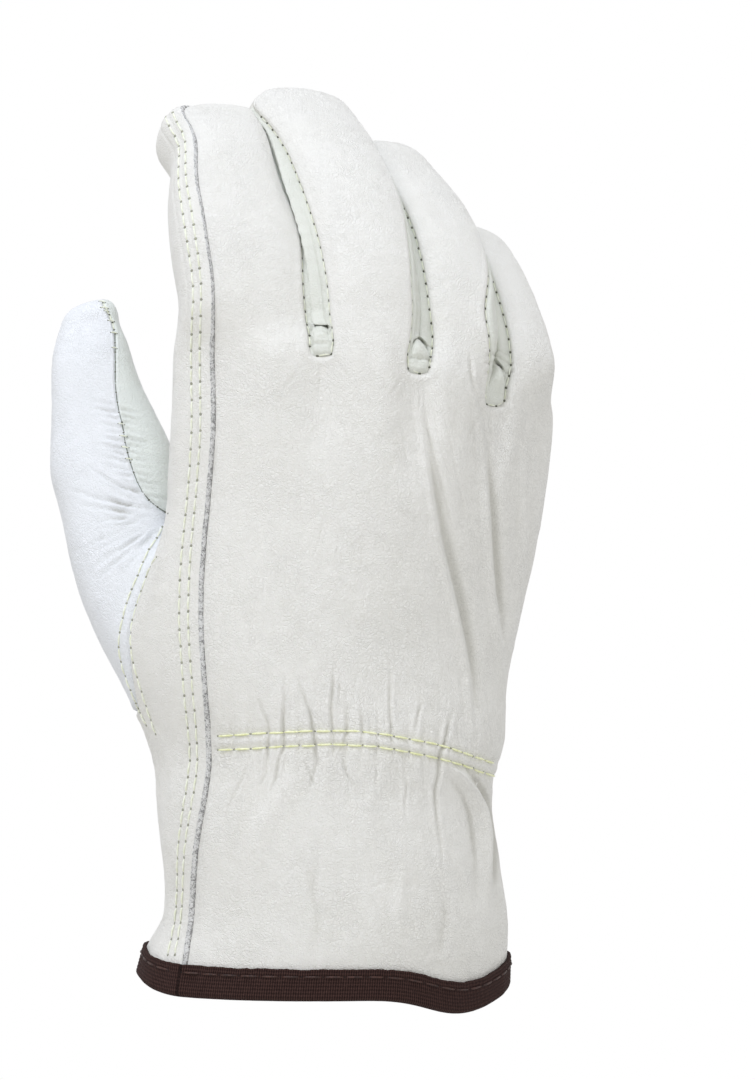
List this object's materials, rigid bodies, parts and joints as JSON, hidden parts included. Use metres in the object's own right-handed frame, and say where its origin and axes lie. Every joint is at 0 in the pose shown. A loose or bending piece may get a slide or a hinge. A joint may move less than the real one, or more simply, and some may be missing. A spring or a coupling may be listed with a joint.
{
  "type": "leather work glove",
  "caption": "Right-hand grain leather driver glove with keystone thumb, shirred back and bound cuff, shaped as worn and hollow inside.",
  "frame": {"origin": "centre of the wrist opening, level with the cuff's edge", "axes": "+Z from the wrist opening to the fingertips, the back of the hand faces -Y, the thumb points to -X, the fingers curl towards +Y"},
  "size_m": [0.1359, 0.0893, 0.2476],
  "materials": {
    "back_leather": "smooth grain leather, satin, warm light grey",
    "thumb_leather": "smooth grain leather, satin, cool white",
    "wall_leather": "smooth grain leather, satin, slightly darker between the fingers",
    "binding_tape": "ribbed woven tape, matt, dark brown"
  },
  "bodies": {
    "root": {"hand_leather": "back_leather", "thumb_leather": "thumb_leather", "fourchette_index": "wall_leather", "fourchette_middle_radial": "wall_leather", "fourchette_middle_ulnar": "wall_leather", "fourchette_ring_radial": "wall_leather", "fourchette_ring_ulnar": "wall_leather", "fourchette_little": "wall_leather", "cuff_binding": "binding_tape"}
  },
  "joints": []
}
